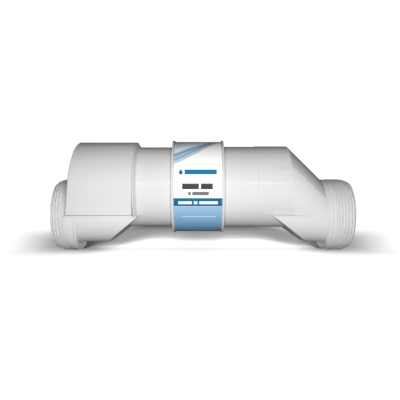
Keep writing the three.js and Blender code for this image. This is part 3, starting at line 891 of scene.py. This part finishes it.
class Shading:
    """A material's node tree with short ways to add maths to it."""

    def __init__(self, name):
        self.material = bpy.data.materials.new(name)
        self.material.use_nodes = True
        self.tree = self.material.node_tree
        self.shader = self.tree.nodes["Principled BSDF"]
        place = self.tree.nodes.new("ShaderNodeTexCoord")
        self.place = place.outputs["Object"]

    def link(self, value, socket):
        if isinstance(value, bpy.types.NodeSocket):
            self.tree.links.new(value, socket)
        else:
            socket.default_value = value

    def math(self, operation, *values, clamp=False):
        node = self.tree.nodes.new("ShaderNodeMath")
        node.operation = operation
        node.use_clamp = clamp
        for value, socket in zip(values, node.inputs):
            self.link(value, socket)
        return node.outputs[0]

    def noise(self, scale, detail=2.0, roughness=0.5, stretch=None):
        node = self.tree.nodes.new("ShaderNodeTexNoise")
        node.inputs["Scale"].default_value = scale
        node.inputs["Detail"].default_value = detail
        node.inputs["Roughness"].default_value = roughness
        place = self.place
        if stretch:
            mapping = self.tree.nodes.new("ShaderNodeMapping")
            mapping.inputs["Scale"].default_value = stretch
            self.link(place, mapping.inputs["Vector"])
            place = mapping.outputs["Vector"]
        self.link(place, node.inputs["Vector"])
        return node.outputs["Fac"]

    def remap(self, value, low, high, start=0.3, end=0.7):
        node = self.tree.nodes.new("ShaderNodeMapRange")
        self.link(value, node.inputs["Value"])
        node.inputs["From Min"].default_value = start
        node.inputs["From Max"].default_value = end
        node.inputs["To Min"].default_value = low
        node.inputs["To Max"].default_value = high
        return node.outputs["Result"]

    def mix(self, factor, first, second):
        node = self.tree.nodes.new("ShaderNodeMix")
        node.data_type = "RGBA"
        for value, socket in ((factor, node.inputs[0]), (first, node.inputs[6]), (second, node.inputs[7])):
            if isinstance(value, tuple) and len(value) == 3:
                value = (*value, 1)
            self.link(value, socket)
        return node.outputs[2]

    def bump(self, height, distance, before=None):
        node = self.tree.nodes.new("ShaderNodeBump")
        node.inputs["Distance"].default_value = distance
        self.link(height, node.inputs["Height"])
        if before:
            self.link(before, node.inputs["Normal"])
        return node.outputs["Normal"]

    def set(self, **values):
        for name, value in values.items():
            if isinstance(value, tuple) and len(value) == 3:
                value = (*value, 1)
            self.link(value, self.shader.inputs[name.replace("_", " ")])
        return self.material


def moulded_plastic(name, light, dark, roughness, wave=0.00008, coat=0.0):
    """Injection-moulded plastic: faint shade changes, an uneven gloss and a soft moulded skin."""
    shading = Shading(name)
    tone = shading.mix(shading.remap(shading.noise(9, 3), 0, 1), light, dark)
    specks = shading.remap(shading.noise(700, 1), 0, 1, 0.66, 0.74)
    tone = shading.mix(shading.math("MULTIPLY", specks, 0.05), tone, (0.35, 0.34, 0.32))
    gloss = shading.remap(shading.noise(55, 4, 0.6), roughness - 0.04, roughness + 0.05)
    skin = shading.bump(shading.noise(34, 1), wave)
    skin = shading.bump(shading.noise(900, 2), 0.000012, skin)
    shading.set(Coat_Weight=coat, Coat_Roughness=0.1)
    return shading.set(Base_Color=tone, Roughness=gloss, Normal=skin, Specular_IOR_Level=0.5)


def rubber(name):
    shading = Shading(name)
    black, worn = (0.018, 0.018, 0.019), (0.04, 0.04, 0.042)
    tone = shading.mix(shading.remap(shading.noise(60, 4), 0, 1), black, worn)
    gloss = shading.remap(shading.noise(300, 3), 0.62, 0.8)
    skin = shading.bump(shading.noise(1500, 2), 0.00003)
    return shading.set(Base_Color=tone, Roughness=gloss, Normal=skin, Specular_IOR_Level=0.35)


def metal(name, light, dark, roughness, stretch):
    """Sheet or turned metal with fine lines along one direction."""
    shading = Shading(name)
    lines = shading.noise(120, 4, 0.6, stretch)
    tone = shading.mix(shading.remap(lines, 0, 1), light, dark)
    gloss = shading.remap(lines, roughness - 0.08, roughness + 0.1)
    skin = shading.bump(lines, 0.00002)
    return shading.set(Base_Color=tone, Roughness=gloss, Normal=skin, Metallic=1.0)


def coated_plate(name):
    """Titanium sheet under a dark, slightly mottled oxide coating."""
    shading = Shading(name)
    patches = shading.noise(40, 5, 0.65)
    tone = shading.mix(shading.remap(patches, 0, 1), (0.085, 0.085, 0.09), (0.15, 0.145, 0.14))
    gloss = shading.remap(shading.noise(420, 3), 0.45, 0.65)
    skin = shading.bump(shading.noise(1100, 3), 0.00004)
    return shading.set(Base_Color=tone, Roughness=gloss, Normal=skin, Metallic=0.6)


def printed_label(name):
    """The label's print, drawn by where a point lies: across along the tube, and up round the sleeve."""
    shading = Shading(name)
    split = shading.tree.nodes.new("ShaderNodeSeparateXYZ")
    shading.link(shading.place, split.inputs[0])
    across = shading.math("MULTIPLY_ADD", split.outputs[0], 1 / MM, -(label_low.x + label_high.x) / 2)
    front = shading.math("MULTIPLY_ADD", split.outputs[1], -1 / MM, AXIS_Y)
    rise = shading.math("MULTIPLY_ADD", split.outputs[2], 1 / MM, -TUBE_Z)
    up = shading.math("MULTIPLY", shading.math("ARCTAN2", rise, front), LABEL_R)

    def box(value, low, high, edge=0.25):
        """1 between low and high, falling to 0 over edge."""
        away = shading.math("ABSOLUTE", shading.math("SUBTRACT", value, (low + high) / 2))
        return shading.math("DIVIDE", shading.math("SUBTRACT", (high - low) / 2, away), edge, clamp=True)

    def either(masks):
        result = masks[0]
        for mask in masks[1:]:
            result = shading.math("MAXIMUM", result, mask)
        return result

    def row(low, high, stretches):
        """A row of plain bars, where a printed line of words would be."""
        bars = either([box(across, a, b) for a, b in stretches])
        return shading.math("MULTIPLY", box(up, low, high), bars)

    # A sweep of water across the upper left corner, along a parabola from the label's left edge.
    left_edge, height, steepness, bend = -36, 36, 0.367, 0.0072
    start = shading.math("ADD", across, -left_edge)
    slope = shading.math("MULTIPLY_ADD", start, bend, steepness)
    middle_line = shading.math("MULTIPLY_ADD", start, slope, height)
    wander = shading.remap(shading.noise(38, 2, 0.5, (1, 0.45, 0.45)), -1.6, 1.6)
    above = shading.math("ADD", shading.math("SUBTRACT", up, middle_line), wander)
    left_part = box(across, -60, 4, 22)
    streaks = [  # lower and upper edge over the parabola, softness, tone, and whether it ends in the middle
        (-9.5, -2, 2.5, (0.49, 0.62, 0.76), False),
        (8, 60, 6.0, (0.62, 0.70, 0.78), False),
        (11, 21, 4.0, (0.80, 0.88, 0.94), True),
        (-4.5, 11, 2.5, (0.26, 0.40, 0.56), False),
        (-0.5, 4.5, 2.0, (0.44, 0.64, 0.86), True),
        (30, 60, 8.0, (0.50, 0.54, 0.62), True),
    ]
    colour = (0.97, 0.97, 0.97)
    for low, high, edge, tone, ends_in_middle in streaks:
        streak = box(above, low, high, edge)
        if ends_in_middle:
            streak = shading.math("MULTIPLY", streak, left_part)
        colour = shading.mix(streak, colour, tone)

    # The light blue field, with painted shade that darkens it downwards, and the deep blue band over it.
    band_low, band_high = -28.9, -17.0
    painted_shade = shading.math("DIVIDE", shading.math("ADD", up, 84), 55, clamp=True)
    field = shading.mix(painted_shade, (0.13, 0.30, 0.48), (0.285, 0.475, 0.68))
    colour = shading.mix(box(up, -140, band_low, 0.3), colour, field)
    colour = shading.mix(box(up, band_low, band_high, 0.3), colour, (0.010, 0.125, 0.26))

    # A generic drop: a ball with a pointed top.
    drop_x, drop_y, ball_r, tip, edge = -22.8, 17.2, 2.9, 5.9, 0.25
    dx = shading.math("SUBTRACT", across, drop_x)
    dy = shading.math("SUBTRACT", up, drop_y)
    squares = [shading.math("MULTIPLY", d, d) for d in (dx, dy)]
    away = shading.math("SQRT", shading.math("ADD", *squares))
    ball = shading.math("DIVIDE", shading.math("SUBTRACT", ball_r, away), edge, clamp=True)
    taper = shading.math("MULTIPLY", shading.math("SUBTRACT", tip, dy), 0.49)
    inside = shading.math("SUBTRACT", taper, shading.math("ABSOLUTE", dx))
    cone = shading.math("DIVIDE", inside, edge, clamp=True)
    cone = shading.math("MULTIPLY", cone, box(dy, 1.2, tip))
    colour = shading.mix(either([ball, cone]), colour, (0.012, 0.16, 0.30))

    rows = [  # lower and upper edge, the bars' ends, and tone
        (14.6, 21.6, [(-18.0, 25.3)], (0.012, 0.17, 0.32)),
        (5.1, 6.2, [(-22.4, -2.5)], (0.42, 0.43, 0.45)),
        (-5.4, 2.6, [(-21.1, 1.5), (3.8, 20.0)], (0.045, 0.05, 0.055)),
        (-13.6, -8.4, [(-13.1, -9.2), (-7.6, 14.7)], (0.17, 0.17, 0.18)),
        (-25.8, -21.6, [(-26.4, -8.0), (-5.6, -0.6), (1.8, 26.7)], (0.86, 0.91, 0.94)),
        # The last row is a thin lighter line across the blue field, not a line of words.
        (-46.6, -45.2, [(-22.9, 24.5)], (0.55, 0.74, 0.90)),
    ]
    for low, high, stretches, tone in rows:
        colour = shading.mix(row(low, high, stretches), colour, tone)

    gloss = shading.remap(shading.noise(45, 3), 0.2, 0.3)
    skin = shading.bump(shading.noise(26, 1), 0.00005)
    return shading.set(Base_Color=colour, Roughness=gloss, Normal=skin, Specular_IOR_Level=0.5)


WHITE = moulded_plastic("white_pvc", (0.68, 0.68, 0.675), (0.655, 0.655, 0.65), 0.27, coat=0.35)
HOUSING = moulded_plastic("housing_pvc", (0.635, 0.635, 0.63), (0.615, 0.615, 0.61), 0.36)
NATURAL = moulded_plastic("natural_plastic", (0.66, 0.67, 0.63), (0.58, 0.59, 0.55), 0.45)
NYLON = moulded_plastic("gland_nylon", (0.022, 0.022, 0.024), (0.035, 0.035, 0.037), 0.42)
SEAL = rubber("seal_rubber")
STEEL = metal("stainless_steel", (0.60, 0.60, 0.61), (0.46, 0.46, 0.47), 0.3, (1, 6, 6))
TITANIUM = metal("titanium", (0.46, 0.45, 0.44), (0.34, 0.33, 0.32), 0.38, (6, 1, 1))
PLATE = coated_plate("coated_titanium")
LABEL = printed_label("printed_label")


def adopt(made, node, material):
    """A finished piece stands for its CAD node."""
    made.data.materials.clear()
    made.data.materials.append(material)
    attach(made, "root")
    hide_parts(node)


adopt(make_outlet_body(), "outlet_body", WHITE)
adopt(make_inlet_body(), "inlet_body", WHITE)
adopt(make_sleeve(), "coupling_sleeve", WHITE)
adopt(make_label(), "label_band", LABEL)
adopt(make_housing(), "terminal_housing", HOUSING)

for name, place in (("inlet", (ring_low, ring_high)), ("outlet", span("outlet_face_o_ring"))):
    adopt(make_o_ring(f"{name}_face_o_ring_surface", *place), f"{name}_face_o_ring", SEAL)
seal_low, seal_high = span("centre_joint_seal")
seal_inner = OUTLET_TUBE_R - TUBE_WALL + GAP
seal = make_ring(
    "centre_joint_seal_surface", seal_low.x, seal_high.x, seal_inner, TUBE_R - GAP, (AXIS_Y, TUBE_Z), 0.6
)
adopt(seal, "centre_joint_seal", SEAL)

for name, piece in make_gland().items():
    soft = name in ("gland_washer", "gland_seal")
    adopt(piece, name, SEAL if soft else NYLON)

adopt(make_header(), "terminal_header", NATURAL)
gasket_low, gasket_high = span("header_gasket")
gasket = make_ring(
    "header_gasket_surface", gasket_low.x, gasket_high.x, HEADER_R + GAP, HEADER_R + 3.6, (AXIS_Y, HEADER_Z)
)
adopt(gasket, "header_gasket", SEAL)
adopt(make_probe(), "temperature_probe", STEEL)
for n in (1, 2):
    adopt(make_stud(n), f"terminal_stud_{n}", TITANIUM)
    adopt(make_nut(n), f"stud_nut_{n}", STEEL)
    adopt(make_washer(n), f"stud_washer_{n}", STEEL)
    adopt(make_block(f"busbar_{n}", 0.5), f"busbar_{n}", TITANIUM)
    adopt(make_spacer(n), f"plate_spacer_rod_{n}", NATURAL)
for level in ("upper", "lower"):
    for place in ("inlet", "outlet"):
        adopt(make_comb(level, place), f"{level}_comb_{place}", NATURAL)

# The plates are kept from CAD.
for name in PLATES:
    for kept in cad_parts[name].material_slots:
        kept.material = PLATE

# ---- stage, lights and camera ------------------------------------------------------------------

CENTRE_X = (sleeve_low.x + 38.7) * MM  # the middle of the picture
EYE_BACK = 688 * MM  # camera to the plane of the tube's axis
EYE_UP = 72 * MM
FLOOR_HALF = 2.6  # in metres
SHADOW_SPREAD = 688  # the floor's painted shadow pools are twice as wide this many millimetres behind the tube's axis
MIDDLE = Vector((CENTRE_X, AXIS_Y * MM, TUBE_Z * MM))


def floor_material():
    """Matt white paper with painted shadow: soft dark pools round and behind the two ports, and a dark
    stretch far behind the tube.
    """
    shading = Shading("floor")
    split = shading.tree.nodes.new("ShaderNodeSeparateXYZ")
    shading.link(shading.place, split.inputs[0])
    across = shading.math("MULTIPLY_ADD", split.outputs[0], 1 / MM, -CENTRE_X / MM)
    behind = shading.math("MULTIPLY_ADD", split.outputs[1], 1 / MM, -AXIS_Y)
    fan = shading.math("MULTIPLY_ADD", shading.math("MAXIMUM", behind, 0), 1 / SHADOW_SPREAD, 1)
    across = shading.math("DIVIDE", across, fan)

    def ramp(value, low, high, start, end):
        level = shading.remap(value, low, high, start, end)
        level.node.interpolation_type = "SMOOTHSTEP"
        return level

    # Each ramp's last two numbers are where it starts and ends, in millimetres.
    depth = shading.math("MULTIPLY", ramp(behind, 0, 1, -135, 50), ramp(behind, 1, 0, 120, 620))
    # Painted shadow: a soft dark pool round and behind each port, widening with distance behind.
    painted_shadow_pools = []
    for end in (inlet, outlet):
        face = end.face - CENTRE_X / MM
        beyond = shading.math("MULTIPLY_ADD", across, end.side, -end.side * face)
        outer = ramp(beyond, 1, 0, -25, 95)
        inner = ramp(beyond, 0, 1, -end.foot - 20, -end.foot + 35)
        painted_shadow_pools.append(shading.math("MULTIPLY", outer, inner))
    # How dark the painted shadow pools are, fading out far behind.
    strength = shading.math("MULTIPLY", depth, 0.78)
    dark = shading.math("MULTIPLY", shading.math("ADD", *painted_shadow_pools), strength)
    # Painted shadow that deepens the tube's own cast shadow where it runs out, far behind.
    far = shading.math("MULTIPLY", ramp(behind, 0, 0.6, 370, 640), ramp(behind, 1, 0, 690, 800))
    under_tube_shadow = ramp(shading.math("ABSOLUTE", across), 1, 0, 160, 230)
    dark = shading.math("MAXIMUM", dark, shading.math("MULTIPLY", far, under_tube_shadow))
    tone = shading.mix(dark, (0.93, 0.93, 0.93), (0, 0, 0))
    return shading.set(Base_Color=tone, Roughness=0.9, Specular_IOR_Level=0.0)


def make_floor():
    """A sheet that only the camera sees. It neither reflects in the object nor shades it."""
    half, height = FLOOR_HALF, FLOOR_Z * MM
    corners = [(-half, -half, height), (half, -half, height), (half, half, height), (-half, half, height)]
    mesh = bpy.data.meshes.new("floor")
    mesh.from_pydata(corners, [], [(0, 1, 2, 3)])
    floor = bpy.data.objects.new("floor", mesh)
    bpy.context.scene.collection.objects.link(floor)
    mesh.materials.append(floor_material())
    floor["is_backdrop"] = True
    floor.visible_diffuse = False
    floor.visible_glossy = False
    floor.visible_shadow = False
    return floor


def light_group(name, objects):
    """Objects that lights can be kept to."""
    group = bpy.data.collections.new(name)
    for o in objects:
        group.objects.link(o)
    return group


def area_light(name, offset, size, power, diffuse=True, glossy=True):
    """A soft light on the object alone, at an offset from its middle and turned to it."""
    data = bpy.data.lights.new(name, "AREA")
    data.shape = "RECTANGLE"
    data.size, data.size_y = size
    data.energy = power
    light = bpy.data.objects.new(name, data)
    light.location = MIDDLE + Vector(offset)
    light.rotation_mode = "QUATERNION"
    light.rotation_quaternion = (MIDDLE - light.location).to_track_quat("-Z", "Y")
    light.visible_camera = False
    light.visible_diffuse = diffuse
    light.visible_glossy = glossy
    light.light_linking.receiver_collection = object_group
    bpy.context.scene.collection.objects.link(light)


def sun_light(name, azimuth, elevation, angle, strength):
    """A light from far away on the floor alone. The object still casts its shadow there."""
    data = bpy.data.lights.new(name, "SUN")
    data.energy = strength
    data.angle = math.radians(angle)
    light = bpy.data.objects.new(name, data)
    light.rotation_euler = (math.radians(90 - elevation), 0, math.radians(azimuth))
    light.light_linking.receiver_collection = floor_group
    bpy.context.scene.collection.objects.link(light)


def world_light(strength):
    """Faint light from everywhere, while the camera sees the world as plain white."""
    world = bpy.data.worlds.new("world")
    world.use_nodes = True
    tree = world.node_tree
    background = tree.nodes["Background"]
    background.inputs["Color"].default_value = (1, 1, 1, 1)
    seen = tree.nodes.new("ShaderNodeLightPath")
    level = tree.nodes.new("ShaderNodeMapRange")
    level.inputs["To Min"].default_value = strength
    level.inputs["To Max"].default_value = 1.0
    tree.links.new(seen.outputs["Is Camera Ray"], level.inputs["Value"])
    tree.links.new(level.outputs["Result"], background.inputs["Strength"])
    bpy.context.scene.world = world


camera_data = bpy.data.cameras.new("camera")
camera_data.sensor_width = 36
camera_data.lens = 42.3
camera_data.clip_start = 0.01
camera = bpy.data.objects.new("camera", camera_data)
camera.location = (CENTRE_X, AXIS_Y * MM - EYE_BACK, FLOOR_Z * MM + EYE_UP)
camera.rotation_euler = (math.pi / 2, 0, 0)
bpy.context.scene.collection.objects.link(camera)
bpy.context.scene.camera = camera

floor = make_floor()
object_group = light_group("object_receivers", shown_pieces())
floor_group = light_group("floor_receivers", [floor])

area_light("front_light", (0, -0.64, -0.055), (0.25, 0.12), 4.7, glossy=False)
area_light("strip_light", (0, -0.95, 0.13), (0.66, 0.03), 0.5, diffuse=False)
area_light("back_light", (0, 1.1, 0), (0.9, 0.2), 11.5, glossy=False)
area_light("top_light", (0, 0.3, 1.2), (0.9, 0.6), 1.3, glossy=False)
area_light("left_light", (-0.9, 0.6, 0), (0.3, 0.3), 2.2, glossy=False)
area_light("right_light", (0.9, 0.6, 0), (0.3, 0.3), 2.2, glossy=False)
world_light(0.065)
sun_light("floor_front", 0, 8.5, 9, 18.5)
sun_light("floor_left", -90, 45, 70, 0.6)
sun_light("floor_right", 90, 45, 70, 0.6)

bpy.context.scene.view_settings.view_transform = "Standard"
